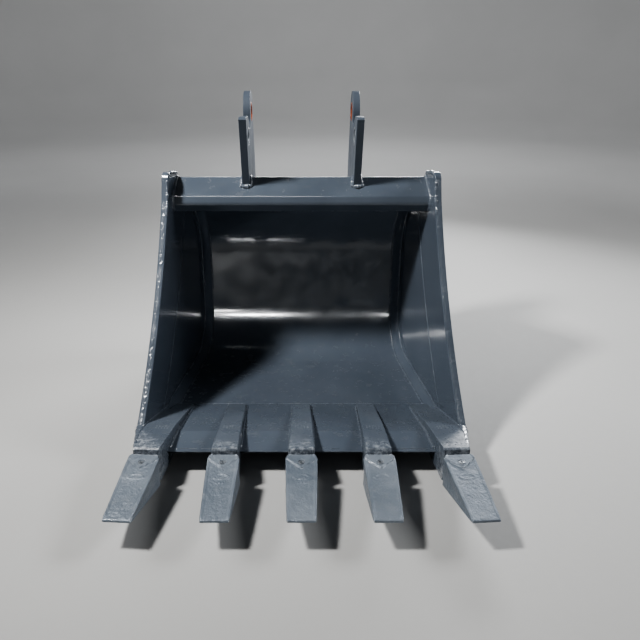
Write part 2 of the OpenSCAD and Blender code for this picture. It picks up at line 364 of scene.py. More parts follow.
def settle(piece, material, nodeNames, slot, body, angle=40.0):
    piece.data.materials.clear()
    piece.data.materials.append(material)
    piece.data.set_sharp_from_angle(angle=radians(angle))
    for face in piece.data.polygons:
        face.use_smooth = True
    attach(piece, body)
    if nodeNames:
        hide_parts(*nodeNames)
    return piece


def roundEdges(piece, width):
    bevel = piece.modifiers.new("rounded edges", "BEVEL")
    bevel.width = width
    bevel.segments = 3
    bevel.limit_method = "ANGLE"
    bevel.angle_limit = radians(34.0)
    bevel.use_clamp_overlap = False
    bevel.harden_normals = True
    bevel.miter_outer = "MITER_ARC"


def plateFrom(node, name, width, material, slot="painted_steel", body="root"):
    # a plate keeps the frame's outline and gets the rounded edges that grinding and paint leave
    mesh = frame["nodes"][node].data.copy()
    mesh.name = name
    work = bmesh.new()
    work.from_mesh(mesh)
    bmesh.ops.remove_doubles(work, verts=work.verts, dist=1e-5)
    bmesh.ops.dissolve_limit(work, angle_limit=radians(0.5), verts=work.verts, edges=work.edges)
    work.to_mesh(mesh)
    work.free()
    piece = settle(addObject(name, mesh), material, (node,), slot, body)
    roundEdges(piece, width)
    return piece


def skin(rings, group=None, caps=True):
    # joins rings of the same number of points with quads, closes both ends, and adds it all to a group
    verts, faces = group or ([], [])
    base, size = len(verts), len(rings[0])
    for ring in rings:
        verts += ring
    for i in range(base, len(verts) - size, size):
        faces += [(i + j, i + (j + 1) % size, i + size + (j + 1) % size, i + size + j) for j in range(size)]
    if caps:
        last = len(verts) - 1
        faces += [tuple(range(base, base + size)), tuple(range(last, last - size, -1))]
    return verts, faces


sides = ("left", "right")
plateFrom("lip_plate", "lip_plate_painted", 0.0020, enamel)
for kind, ends, edgeRound, coat in (("side_bar", sides, 0.0030, enamel), ("side_plate", sides, 0.0015, enamel),
                                    ("ear", sides, 0.0018, earEnamel), ("heel_plate", sides, 0.0025, enamel),
                                    ("wear_strap", range(1, 5), 0.0030, enamel)):
    for end in ends:
        plateFrom(f"{kind}_{end}", f"{kind}_{end}_painted", edgeRound, coat)
for pin, film in (("stick", pinSteel), ("link", boreFilm)):
    for end in sides:
        plateFrom(f"{pin}_bush_{end}", f"{pin}_bush_{end}_turned", 0.0010, film, "bush_steel")
for number in range(1, 6):
    plateFrom(f"tooth_pin_{number}", f"tooth_pin_{number}_drawn", 0.0008, pinSteel, "pin_steel",
              f"lock_pin_{number}")
plateFrom("pin_keepers", "pin_keepers_moulded", 0.0008, keeperRubber, "rubber")
print("stage: plates rounded")


# Wrapper, one rolled plate between the sides
def makeWrapper():
    inner = [(bucket["lipBack"], lipThick)] + wrapLine(0.0)
    outer = [(bucket["lipBack"], lipThick - wrapThick)] + wrapLine(wrapThick)
    loop = inner + outer[::-1]
    columns = 12
    rings = [[rest(wallAt(y) * (2.0 * i / columns - 1.0), y, z) for y, z in loop] for i in range(columns + 1)]
    verts, faces = skin(rings, caps=False)
    size, half = len(loop), len(inner)
    for base in (0, columns * size):
        for j in range(half - 1):
            faces.append((base + j, base + j + 1, base + size - 2 - j, base + size - 1 - j))
    addPiece("wrapper_rolled", verts, faces, enamel, ("wrapper",), angle=35.0)


def roundCorner(points, index, radius, steps=6):
    # the points that replace one corner of an outline with an arc
    here = Vector(points[index])
    toLast = (Vector(points[index - 1]) - here).normalized()
    toNext = (Vector(points[(index + 1) % len(points)]) - here).normalized()
    half = toLast.angle(toNext) / 2
    reach = radius / tan(half)
    centre = here + (toLast + toNext).normalized() * (radius / sin(half))
    start, end = here + toLast * reach, here + toNext * reach
    chord = [start.lerp(end, i / steps) for i in range(steps + 1)]
    return [tuple(centre + (point - centre).normalized() * radius) for point in chord]


# Torque tube, a bent plate that closes against the roll
tube = {
    "top": (0.445, 0.782), "bend": (0.388, 0.716), "low": (0.385, 0.692), "turnIn": (0.389, 0.678),
    "foot": (0.403, 0.668), "smallRadius": 0.006, "bendRadius": 0.013, "lowRadius": 0.020,
    "hollow": ((0.448, 0.764), (0.402, 0.712), (0.3985, 0.693), (0.409, 0.682)), "hollowRadius": 0.008,
    "closesAt": radians(62),      # where the tube's lower edge meets the roll
    "gap": 0.012,                      # from the roll to the hollow
}


def tubeFace(y):
    # height of the tube's sloping front face
    low, high = tube["bend"], tube["top"]
    return mix(low[1], high[1], (y - low[0]) / (high[0] - low[0]))


def makeTube():
    rollArc = arc(rollCentre, bucket["rollRadius"], tube["closesAt"], bucket["rollEnd"], 10)
    corners = [crown, tube["top"], tube["bend"], tube["low"], tube["foot"]] + rollArc
    outer = [crown]
    for corner, radius in ((1, "smallRadius"), (2, "bendRadius"), (3, "lowRadius")):
        outer += roundCorner(corners, corner, tube[radius])
    outer += [tube["foot"]] + rollArc
    hollow = list(tube["hollow"])
    hollow += arc(rollCentre, bucket["rollRadius"] - tube["gap"], radians(64), radians(86), 8)
    inner = [hollow[0]]
    for corner, radius in ((1, "smallRadius"), (2, "hollowRadius")):
        inner += roundCorner(hollow, corner, tube[radius])
    inner += hollow[3:]
    columns = 8
    work = bmesh.new()
    for loop in (outer, inner):
        rows = [[work.verts.new(rest(wallAt(y) * (2.0 * i / columns - 1.0), y, z)) for y, z in loop]
                for i in range(columns + 1)]
        for i in range(columns):
            for j in range(len(loop)):
                k = (j + 1) % len(loop)
                work.faces.new((rows[i][j], rows[i][k], rows[i + 1][k], rows[i + 1][j]))
    ends = [edge for edge in work.edges if edge.is_boundary]
    left = [edge for edge in ends if edge.verts[0].co.x < 0]
    bmesh.ops.triangle_fill(work, use_beauty=True, edges=left)
    bmesh.ops.triangle_fill(work, use_beauty=True, edges=[edge for edge in ends if edge not in set(left)])
    work.verts.index_update()
    verts = [v.co.copy() for v in work.verts]
    faces = [[v.index for v in face.verts] for face in work.faces]
    work.free()
    addPiece("torque_tube_folded", verts, faces, enamel, ("torque_tube",), angle=30.0)


# Corner strips, laid flat across the corner between the wrapper and each side
strip = {"width": 0.026, "widthOnLip": 0.011, "start": 0.212, "rollTo": radians(56),
         "widens": (0.262, 0.035),     # where it starts to widen, and over what length
         "sag": 0.06}                  # the face is slightly hollow, by this share of its width


def stripPath():
    path = [(y, lipThick) for y in (strip["start"], 0.24, 0.262, 0.28, bucket["lipBack"])]
    path += wrapLine(0.0, 30, strip["rollTo"])
    start, run = strip["widens"]
    widths = [mix(strip["widthOnLip"], strip["width"], smoothStep((y - start) / run)) for y, z in path]
    return path, widths


def lineNormal(path, i):
    a, b = path[max(i - 1, 0)], path[min(i + 1, len(path) - 1)]
    length = hypot(b[0] - a[0], b[1] - a[1])
    return (-(b[1] - a[1]) / length, (b[0] - a[0]) / length)


def makeStrips():
    path, widths = stripPath()
    for side, word in ((-1, "left"), (1, "right")):
        rings = []
        for i, (y, z) in enumerate(path):
            w, (ny, nz) = widths[i], lineNormal(path, i)
            up = (y + w * ny, z + w * nz)
            ring = [rest(side * wallAt(y), y, z), rest(side * wallAt(up[0]), *up)]
            for t in (0.08, 0.3, 0.5, 0.7, 0.92):
                sag = strip["sag"] * w * sin(pi * t)
                px, away = mix(wallAt(up[0]), wallAt(y) - w, t), w * (1 - t) - sag
                ring.append(rest(side * (px + sag), y + away * ny, z + away * nz))
            ring.append(rest(side * (wallAt(y) - w), y, z))
            rings.append(ring)
        addPiece(f"corner_strip_{word}_bevelled", *skin(rings), enamel, (f"corner_strip_{word}",), angle=35.0)


makeWrapper()
makeTube()
makeStrips()
print("stage: shell rolled")

# Adapters and teeth, drawn at the middle of the lip and then set in their places
toothRow = {"pitch": 0.214, "cornerAt": 0.431, "splay": radians(5.5), "hinge": -0.128,
            "pinAt": -0.1695, "holeRadius": 0.00858,
            "seatFoot": 0.0082, "seatRadius": 0.0118, "seatDepth": 0.0035}


def seat(number):
    # the map from a tooth drawn on the centre line to its place on the lip
    offset = number - 3
    outer = abs(offset) == 2
    side = (offset > 0) - (offset < 0)
    x = side * toothRow["cornerAt"] if outer else side * toothRow["pitch"]
    angle = side * toothRow["splay"] if outer else 0.0
    ca, sa = cos(angle), sin(angle)

    def place(px, py, pz):
        dy = py - toothRow["hinge"]
        return rest(x + px * ca - dy * sa, toothRow["hinge"] + px * sa + dy * ca, pz)
    return place


def table(rows, y):
    # straight-line reading of a short table of (y, value)
    for (a, va), (b, vb) in zip(rows, rows[1:]):
        if min(a, b) <= y <= max(a, b):
            return mix(va, vb, (y - a) / (b - a)) if a != b else va
    return rows[0][1] if abs(y - rows[0][0]) < abs(y - rows[-1][0]) else rows[-1][1]


tooth = {
    "rear": -0.141,
    "steps": ((-0.155, 0.0012), (-0.255, 0.0017), (-0.352, 0.0045)),   # down to this y, rows this far apart
    "tipRows": (-0.352, -0.355, -0.358, -0.361, -0.3625, -0.3636),
    "top": ((-0.141, 0.0345), (-0.351, -0.030), (-0.362, -0.0355), (-0.364, -0.0385)),
    "bottom": ((-0.141, -0.050), (-0.362, -0.043), (-0.364, -0.0405)),
    "half": ((-0.141, 0.038), (-0.149, 0.044), (-0.200, 0.043), (-0.352, 0.0375), (-0.364, 0.0360)),
    "edgeRound": 0.0032,
    "hollow": 0.0016,          # the top face is dished a little between its two raised edges
    "padHeight": 0.0036, "padSlope": 0.0016, "padPoint": -0.190, "padCorner": -0.1525,
    "bow": 0.0012,             # the sides are hollow by this much
    "lump": 0.00045,
}


def padLift(px, py, half):
    # raised pad over the pin, wide at the rear and running to a point below the pin
    slope = (tooth["padCorner"] - tooth["padPoint"]) / half
    inside = py - (tooth["padPoint"] + slope * abs(px))
    return tooth["padHeight"] * smoothStep(inside / tooth["padSlope"] + 0.5)


def markLift(px, py):
    # plain foundry marks: the rim of a raised lozenge, and three dots under it
    across, along = px / marks["halfAcross"], (py - marks["at"]) / marks["halfAlong"]
    rim = abs(hypot(across, along) - 1.0) * marks["halfAlong"]
    lift = 1.0 - smoothStep((rim - marks["rimHalf"]) / marks["slope"])
    for dot in (-1, 0, 1):
        gap = hypot(px - dot * marks["dotPitch"], py - marks["dotsAt"])
        lift = max(lift, 1.0 - smoothStep((gap - marks["dotRadius"]) / marks["slope"]))
    return marks["height"] * lift


marks = {"at": -0.2190, "halfAcross": 0.0200, "halfAlong": 0.0085, "rimHalf": 0.0008, "slope": 0.0014,
         "height": 0.0014, "dotsAt": -0.2410, "dotPitch": 0.0085, "dotRadius": 0.0012}


def toothRing(y, seed):
    top, bottom, half = table(tooth["top"], y), table(tooth["bottom"], y), table(tooth["half"], y)
    radius = min(tooth["edgeRound"], 0.42 * (top - bottom))
    flat = half - radius
    across, side, under, bend = 46, 8, 20, 5
    ring = []

    def corner(sign, pz, angle):
        ring.append((sign * flat + radius * cos(angle), y, pz + radius * sin(angle)))

    def flank(sign, start, end):
        for t in [i / side for i in range(1, side)]:
            ring.append((sign * (half - tooth["bow"] * sin(pi * t)), y, mix(start, end, t)))

    for i in range(across + 1):                     # top face, from left to right
        px = mix(-flat, flat, i / across)
        dish = smoothStep((0.86 - abs(px / half)) / 0.10) * smoothStep((y + 0.362) / 0.012)
        ring.append((px, y, top - tooth["hollow"] * dish + padLift(px, y, half) + markLift(px, y)))
    for i in range(1, bend + 1):                    # rounded shoulder
        corner(1, top - radius, pi / 2 * (1 - i / bend))
    flank(1, top - radius, bottom + radius)
    for i in range(bend + 1):
        corner(1, bottom + radius, -pi / 2 * i / bend)
    for i in range(1, under):
        ring.append((mix(flat, -flat, i / under), y, bottom))
    for i in range(bend + 1):
        corner(-1, bottom + radius, -pi / 2 - pi / 2 * i / bend)
    flank(-1, bottom + radius, top - radius)
    for i in range(bend):
        corner(-1, top - radius, pi - pi / 2 * i / bend)
    out = []
    for px, py, pz in ring:
        low = tooth["lump"] * noise.noise(Vector((px * 40 + seed, py * 40, pz * 40)))
        out.append((px + low, py, pz + low))
    return out


def cutterObject(name, place, rings):
    mesh = bpy.data.meshes.new(name)
    verts, faces = skin([[place(*point) for point in ring] for ring in rings])
    mesh.from_pydata(verts, [], faces)
    work = bmesh.new()
    work.from_mesh(mesh)
    bmesh.ops.recalc_face_normals(work, faces=work.faces)
    work.to_mesh(mesh)
    work.free()
    return addObject(name, mesh)


def cutAway(piece, cutters):
    # takes the cutters out of the piece for good, and removes them
    for cutter in cutters:
        cut = piece.modifiers.new("cut", "BOOLEAN")
        cut.operation = "DIFFERENCE"
        cut.solver = "EXACT"
        cut.object = cutter
    depsgraph = bpy.context.evaluated_depsgraph_get()
    mesh = bpy.data.meshes.new_from_object(piece.evaluated_get(depsgraph))
    piece.modifiers.clear()
    piece.data = mesh
    for cutter in cutters:
        bpy.data.objects.remove(cutter)


noseRoom = {"side": ((-0.136, 0.0236), (-0.140, 0.0228), (-0.268, -0.0170), (-0.275, -0.0215),
                     (-0.275, -0.0305), (-0.268, -0.0345), (-0.140, -0.0380), (-0.136, -0.0385)),
            "rear": -0.136, "length": 0.139, "halfRear": 0.0314, "halfFront": 0.0240}


def noseCutter(place):
    rings = []
    for side in (-1, 1):
        ring = []
        for y, z in noseRoom["side"]:
            t = (noseRoom["rear"] - y) / noseRoom["length"]
            ring.append((side * mix(noseRoom["halfRear"], noseRoom["halfFront"], t), y, z))
        rings.append(ring)
    return cutterObject("nose_room", place, rings)


def holeCutter(place, lowRadius, highRadius, low, high):
    # round cutter on the pin's axis, wider at the top where it makes the pin's dished seat
    around = [2 * pi * i / 48 for i in range(48)]
    rings = [[(r * cos(a), toothRow["pinAt"] + r * sin(a), z) for a in around]
             for r, z in ((lowRadius, low), (highRadius, high))]
    return cutterObject("pin_hole", place, rings)


def makeTooth(number):
    place = seat(number)
    stations = []
    y = tooth["rear"]
    while y > tooth["tipRows"][0]:
        stations.append(y)
        y -= next(step for until, step in tooth["steps"] if y > until)
    stations += tooth["tipRows"]
    rings = [[place(*p) for p in toothRing(y, number * 7.3)] for y in stations]
    piece = addPiece(f"tooth_{number}_cast", *skin(rings), toothCasting, (f"tooth_{number}",), "cast_steel",
                     angle=32.0)
    face = table(tooth["top"], toothRow["pinAt"]) + tooth["padHeight"]
    hole, low, high = toothRow["holeRadius"], face - toothRow["seatDepth"], face + toothRow["seatDepth"]
    cutAway(piece, [noseCutter(place), holeCutter(place, hole, hole, -0.09, 0.09),
                    holeCutter(place, toothRow["seatFoot"], toothRow["seatRadius"], low, high)])
    piece.data.set_sharp_from_angle(angle=radians(38))
    return piece


adapter = {
    "top": ((0.278, 0.0310), (0.272, 0.0330), (0.060, 0.0510), (-0.122, 0.0500), (-0.128, 0.0460)),
    "half": ((0.280, 0.0280), (0.272, 0.0300), (-0.122, 0.0370), (-0.128, 0.0360)),
    "edgeRound": 0.0045, "flangeRound": 0.0014,
}
studs = {
    "across": (-0.018, -0.009, 0.0, 0.009, 0.018), "along": (0.016, 0.030), "radius": 0.0021, "shift": 0.0006,
    # the rough pad where the riser was cut off
    "grains": 14, "padAcross": (-0.030, 0.026), "padAlong": (-0.105, -0.085), "grainRadius": (0.0012, 0.0028),
}


def makeAdapter(number):
    # the flange of a corner adapter has thin corners, so its edges are ground less
    edgeRound = adapter["flangeRound"] if number in (1, 5) else adapter["edgeRound"]
    plateFrom(f"adapter_{number}", f"adapter_{number}_cast", edgeRound, castEnamel, "painted_casting")


def makeStuds():
    # plain raised studs in two rows on each adapter, and the grains of the riser's pad
    verts, faces = [], []
    for number in range(1, 6):
        place = seat(number)
        dice = random.Random(40 + number)
        shift = studs["shift"]
        spots = [(mx + dice.uniform(-shift, shift), my + dice.uniform(-shift, shift), studs["radius"])
                 for mx in studs["across"] for my in studs["along"]]
        spots += [(dice.uniform(*studs["padAcross"]), dice.uniform(*studs["padAlong"]),
                   dice.uniform(*studs["grainRadius"])) for _ in range(studs["grains"])]
        for mx, my, radius in spots:
            addDome(verts, faces, place, mx, my, table(adapter["top"], my), radius)
    addPiece("foundry_studs", verts, faces, castEnamel, (), "painted_casting", angle=60.0)


def addDome(verts, faces, place, x, y, z, radius, flat=0.6):
    base, rings, around = len(verts), 4, 10
    for i in range(rings):
        a = pi / 2 * i / rings - 0.35 * (i == 0)
        for j in range(around):
            b = 2 * pi * j / around
            verts.append(place(x + radius * cos(a) * cos(b), y + radius * cos(a) * sin(b),
                               z + flat * radius * sin(a)))
    verts.append(place(x, y, z + flat * radius))
    for i in range(rings - 1):
        for j in range(around):
            k = (j + 1) % around
            faces.append((base + i * around + j, base + i * around + k, base + (i + 1) * around + k,
                          base + (i + 1) * around + j))
    last = base + (rings - 1) * around
    faces += [(last + j, last + (j + 1) % around, base + rings * around) for j in range(around)]
    faces.append(tuple(base + around - 1 - j for j in range(around)))


for number in range(1, 6):
    makeTooth(number)
    makeAdapter(number)
makeStuds()
print("stage: teeth and adapters cast")


# Weld beads
weld = {"step": 0.0026, "ripple": 0.0072, "rippleDepth": 0.17, "wander": 0.14, "around": 9}
beadRadius = {
    "lipSeam": 0.0036, "lipUnder": 0.0070, "stripOnFloor": 0.0030, "stripOnWall": 0.0034, "roll": 0.0060,
    "outside": 0.0052, "hardFacing": 0.0019, "barInside": 0.0013, "barOutside": 0.0062, "barFoot": 0.0036,
    "barUnder": 0.0058, "tubeEnd": 0.0058, "tubeHeavy": 0.0062, "tubeClimb": 0.0052, "tubeFoot": 0.0042,
    "tubeRear": 0.0060, "ear": 0.0058, "earHeavy": 0.0080, "earNose": 0.0092, "earEnd": 0.0052,
    "strap": 0.0056, "leg": 0.0050, "cornerLeg": 0.0062, "legUnder": 0.0058, "legRear": 0.0050,
}


def resample(points, step):
    lengths = [(b - a).length for a, b in zip(points, points[1:])]
    total = sum(lengths)
    count = max(4, int(total / step))
    out, i, done = [points[0].copy()], 0, 0.0
    for k in range(1, count):
        want = total * k / count
        while i < len(lengths) - 1 and done + lengths[i] < want:
            done += lengths[i]
            i += 1
        out.append(points[i].lerp(points[i + 1], (want - done) / lengths[i] if lengths[i] else 0.0))
    out.append(points[-1].copy())
    return out


def addBead(group, kind, points, seed, lumpy=1.0):
    # one pass of weld along the points: a round bead with the ripples of the molten pool
    line, radius = resample(points, weld["step"]), beadRadius[kind]
    dice = random.Random(seed)
    phase = dice.uniform(0, 50)
    around, count, rings = weld["around"], len(line), []
    ahead = (line[1] - line[0]).normalized()
    side = ahead.orthogonal().normalized()
    for i, point in enumerate(line):
        ahead = (line[min(i + 1, count - 1)] - line[max(i - 1, 0)]).normalized()
        side = (side - ahead * side.dot(ahead)).normalized()
        up = ahead.cross(side)
        s = i * weld["step"]
        pool = (s / weld["ripple"] + phase) % 1.0
        size = 1.0 + weld["rippleDepth"] * (0.5 - pool) * 1.6
        size += lumpy * weld["wander"] * noise.noise(Vector((s * 70 + phase, seed, 0.0)))
        size += lumpy * 0.10 * noise.noise(Vector((s * 17, phase, seed)))
        end = min(i, count - 1 - i)
        size *= (0.35, 0.75, 0.95)[end] if end < 3 else 1.0
        drift = 0.07 * lumpy * noise.noise(Vector((phase, s * 40, seed)))
        centre = point + side * radius * drift
        angles = [2 * pi * j / around for j in range(around)]
        rings.append([centre + (side * cos(a) + up * sin(a)) * radius * size for a in angles])
    skin(rings, group)


def addWelds(name, group, slot="painted_steel"):
    addPiece(name, *group, weldPaint, (), slot, angle=60.0)


def straight(half, y, z):
    return [rest(-half, y, z), rest(half, y, z)]


def wallPath(path, side, lift=0.0, inset=wallDepth):
    # a path of (y, z) points laid on a side's inner face, lift metres off it
    return [rest(side * (wallAt(y, inset) - lift), y, z) for y, z in path]


def weldShell():
    group = ([], [])
    back = bucket["lipBack"]
    half, z = wallAt(back) - 0.012, lipThick - 0.0027
    addBead(group, "lipSeam", straight(half, back, z), 11, 1.8)
    half, y, z = wallAt(back), back - 0.001, 0.004
    addBead(group, "lipUnder", straight(half, y, z), 12)
    path, widths = stripPath()
    for side in (-1, 1):
        onFloor, onWall = [], []
        for i, (y, z) in enumerate(path):
            w, (ny, nz) = widths[i], lineNormal(path, i)
            onFloor.append(rest(side * (wallAt(y) - w), y, z))
            up = (y + w * ny, z + w * nz)
            onWall.append(rest(side * wallAt(up[0]), *up))
        addBead(group, "stripOnFloor", onFloor, 20 + side, 1.5)
        addBead(group, "stripOnWall", onWall, 23 + side, 1.5)
        roll = arc(rollCentre, bucket["rollRadius"], strip["rollTo"], radians(66), 12)
        addBead(group, "roll", wallPath(roll, side), 26 + side)
        # outside, where the wrapper's end meets the side
        outside = [(back + 0.004, lipThick - wrapThick)] + wrapLine(wrapThick, 36, radians(80))
        addBead(group, "outside", wallPath(outside, side, 0.001), 29 + side)
    addWelds("shell_welds", group)


# rough passes of hard facing near the front edge, in three of the bays: from x, to x and seed
hardFacing = {"y": -0.036, "bend": 0.002,
              "passes": ((-0.372, -0.300, 15), (-0.292, -0.262, 16), (0.262, 0.378, 17), (0.085, 0.112, 18))}


def weldLipFront():
    group = ([], [])
    y = hardFacing["y"]
    middle = y + hardFacing["bend"]
    for start, end, seed in hardFacing["passes"]:
        run = ((start, y), ((start + end) / 2, middle), (end, y))
        points = [rest(px, py, lipTop(py)) for px, py in run]
        addBead(group, "hardFacing", points, seed, 2.6)
    addWelds("lip_hard_facing", group)


def weldSides():
    group = ([], [])
    width = bucket["barWidth"]
    for side in (-1, 1):
        seam = [frontEdge(t / 24, width) for t in range(-1, 25)]
        seam = [p for p in seam if p[1] > 0.075]
        seam += [(frontEdge(1.0)[0] + width + 0.006, 0.745)]
        addBead(group, "barInside", wallPath(seam, side), 40 + side, 1.4)
        step = (bucket["barThick"] - bucket["plateThick"]) / cos(bucket["taper"])
        addBead(group, "barOutside", wallPath(seam, side, 0.0, step), 44 + side)
        # bar to lip, inside and underneath
        foot = [rest(side * (wallAt(y) - 0.0002), y, table(adapter["top"], y) - 0.0005)
                for y in (0.016, 0.060, 0.11, 0.16, 0.206)]
        addBead(group, "barFoot", foot, 48 + side, 1.6)
        under = [rest(side * (wallAt(y, 0.0) - 0.001), y, lipTop(y) - 0.001)
                 for y in (0.064, 0.12, 0.22, 0.31)]
        addBead(group, "barUnder", under, 52 + side)
    addWelds("side_welds", group)


# the tube's seams in y and z: round its end, over the top corner of the bar, and up the bar's front
tubeSeams = {
    "end": (tube["foot"], tube["turnIn"], (0.3846, 0.692), (0.3876, 0.715), (0.410, 0.7415), (0.4446, 0.7815),
            (crown[0] - 0.004, crown[1])),
    "heavy": ((0.372, 0.790), (0.386, 0.7975), (0.404, 0.7975), (0.424, 0.7970), (0.446, 0.7965)),
    "climb": (frontEdge(0.94), frontEdge(1.0), (0.3475, 0.742), (0.3510, 0.768), (0.3590, 0.785),
              (0.372, 0.7925)),
}


def weldTube():
    group = ([], [])
    for side in (-1, 1):
        addBead(group, "tubeEnd", wallPath(tubeSeams["end"], side), 60 + side, 1.5)
        heavy = [rest(side * (wallAt(y) + 0.003), y, z - 0.003) for y, z in tubeSeams["heavy"]]
        addBead(group, "tubeHeavy", heavy, 64 + side, 2.6)
        climb = [rest(side * (wallAt(y) + 0.004), y + 0.003, z - 0.002) for y, z in tubeSeams["climb"]]
        addBead(group, "tubeClimb", climb, 68 + side, 2.6)
    half = wallAt(tube["foot"][0]) - 0.004
    addBead(group, "tubeFoot", straight(half, 0.4085, 0.6710), 72)
    half, y = wallAt(crown[0]) - 0.004, crown[0] - 0.001
    addBead(group, "tubeRear", straight(half, y, crown[1]), 73)
    addWelds("tube_welds", group)


def weldEars():
    group = ([], [])
    foot = 0.4185                      # y where an ear's front edge meets the tube
    footZ = tubeFace(foot)
    onRoll = arc(rollCentre, outerRoll, bucket["rollEnd"], radians(14), 40)
    path = [(foot - 0.004, footZ - 0.0045), tube["top"], crown] + onRoll
    heavy = [(foot - 0.006, footZ - 0.0075), (foot + 0.004, footZ + 0.003), (0.436, 0.7715)]
    for side in (-1, 1):
        low, high = side * bucket["earGap"] / 2, side * (bucket["earGap"] / 2 + bucket["earThick"])
        for x, away, seed in ((low, -0.001, 80), (high, 0.001, 84)):
            addBead(group, "ear", [rest(x + side * away, y, z) for y, z in path], seed + side, 1.6)
            points = [rest(x + side * 3.0 * away, y, z) for y, z in heavy]
            addBead(group, "earHeavy", points, seed + 40 + side, 2.4)
        nose = [rest(x, foot - 0.004, footZ - 0.003)
                for x in (low - side * 0.001, mix(low, high, 0.3), mix(low, high, 0.7), high + side * 0.001)]
        addBead(group, "earNose", nose, 88 + side, 2.4)
        end = [rest(x, onRoll[-1][0] + 0.001, onRoll[-1][1]) for x in (low, mix(low, high, 0.5), high)]
        addBead(group, "earEnd", end, 91 + side)
    addWelds("ear_welds", group)


# wear straps under the heel: where their middles are, half a strap's width, and where they start
straps = {"at": (-0.300, -0.107, 0.107, 0.300), "half": 0.0455, "from": 0.3165}


def weldHeel():
    group = ([], [])
    line = [(straps["from"], lipThick - wrapThick)]
    line += [p for p in heelLine(wrapThick) if p[0] > straps["from"]]
    for number, x in enumerate(straps["at"]):
        for side in (-1, 1):
            points = [rest(x + side * straps["half"], *point) for point in line[:-1]]
            addBead(group, "strap", points, 120 + 3 * number + side)
    addWelds("heel_welds", group)


# how far along its legs an adapter is welded; the flanged leg of a corner one is only free at the rear
legSeams = {"leg": (0.274, 0.22, 0.16, 0.10, 0.06, 0.05, 0.02, 0.0, -0.030), "flanged": (0.274, 0.25, 0.222),
            "under": (0.112, 0.06, 0.0, -0.036), "rear": (-0.028, -0.010, 0.010, 0.028)}


def weldAdapters():
    group = ([], [])
    for number in range(1, 6):
        place = seat(number)
        outer = number in (1, 5)
        for side in (-1, 1):
            flanged = outer and side == (1 if number == 5 else -1)
            flank = {y: side * (table(adapter["half"], y) + 0.0005) for run in legSeams.values() for y in run}
            leg = [place(flank[y], y, lipTop(y) - 0.0005) for y in legSeams["flanged" if flanged else "leg"]]
            under = [place(flank[y], y, 0.0005) for y in legSeams["under"]]
            addBead(group, "cornerLeg" if outer else "leg", leg, 150 + 5 * number + side, 1.3)
            addBead(group, "legUnder", under, 180 + 5 * number + side)
        rear = [place(x, 0.2785, lipThick - 0.001) for x in legSeams["rear"]]
        addBead(group, "legRear", rear, 210 + number, 2.0)
    addWelds("adapter_welds", group, "painted_casting")


spatter = {"count": 26, "onFloor": ((0.24, 0.31), (-0.42, 0.42), (0.0008, 0.0016)),
           "onTube": ((0.396, 0.438), (-0.03, 0.05), (0.0008, 0.0018))}


def addSpatter():
    # little balls of weld metal that stuck near the seams and were painted over
    verts, faces = [], []
    dice = random.Random(77)
    along, across, radius = spatter["onFloor"]
    for _ in range(spatter["count"]):
        y, x = dice.uniform(*along), dice.uniform(*across)
        addDome(verts, faces, rest, x, y, lipThick, dice.uniform(*radius))
    along, across, radius = spatter["onTube"]
    for _ in range(spatter["count"]):
        y = dice.uniform(*along)
        x = dice.choice((-1, 1)) * (bucket["earGap"] / 2 + dice.uniform(*across))
        addDome(verts, faces, rest, x, y, tubeFace(y), dice.uniform(*radius))
    addWelds("weld_spatter", (verts, faces))


# built-up weld that carries each side bar down onto its corner adapter
corner = {
    # y, inner x, outer x, top z, bottom z
    "rows": ((0.060, 0.4745, 0.4930, 0.036, 0.010), (0.048, 0.4715, 0.4945, 0.0530, 0.004),
             (0.024, 0.4690, 0.4968, 0.0560, 0.000), (0.000, 0.4690, 0.4935, 0.0535, -0.001),
             (-0.020, 0.4690, 0.4892, 0.0518, -0.001), (-0.060, 0.4650, 0.4812, 0.0508, 0.012),
             (-0.095, 0.4610, 0.4742, 0.0503, 0.018), (-0.119, 0.4560, 0.4690, 0.0490, 0.019)),
    "around": 28, "square": 3.4, "lump": 0.0020,
}


def squareRound(angle):
    # cosine and sine for a ring that is squarer than a circle
    return [copysign(abs(v) ** (2 / corner["square"]), v) for v in (cos(angle), sin(angle))]


def makeCornerBuildUp():
    group = ([], [])
    size, lump = corner["around"], corner["lump"]
    rows = []
    for a, b in zip(corner["rows"], corner["rows"][1:]):
        rows += [[mix(p, q, k / 6) for p, q in zip(a, b)] for k in range(6)]
    rows.append(corner["rows"][-1])
    for side in (-1, 1):
        rings = []
        for y, inner, outer, top, bottom in rows:
            ring = []
            for j in range(size):
                across, up = squareRound(2 * pi * j / size)
                px = (inner + outer) / 2 + (outer - inner) / 2 * across
                pz = (top + bottom) / 2 + (top - bottom) / 2 * up
                rough = lump * noise.noise(Vector((px * 90, y * 90, pz * 90 + side)))
                rough += 0.4 * lump * noise.noise(Vector((px * 260, y * 260, pz * 260 + side)))
                px = min(px + rough, wallAt(y, 0.0003))
                ring.append(rest(side * px, y, pz + rough))
            rings.append(ring)
        skin(rings, group)
    addWelds("corner_build_up", group, "painted_casting")


makeCornerBuildUp()
weldShell()
weldLipFront()
weldSides()
weldTube()
weldEars()
weldHeel()
weldAdapters()
addSpatter()
print("stage: welds run")


# Flame-cut front edges of the side bars, a rough skin just proud of the plate
edgeSkin = {"proud": 0.0011, "rough": 0.0010, "tuck": 0.0028, "margin": 0.0008, "across": 12, "along": 240}


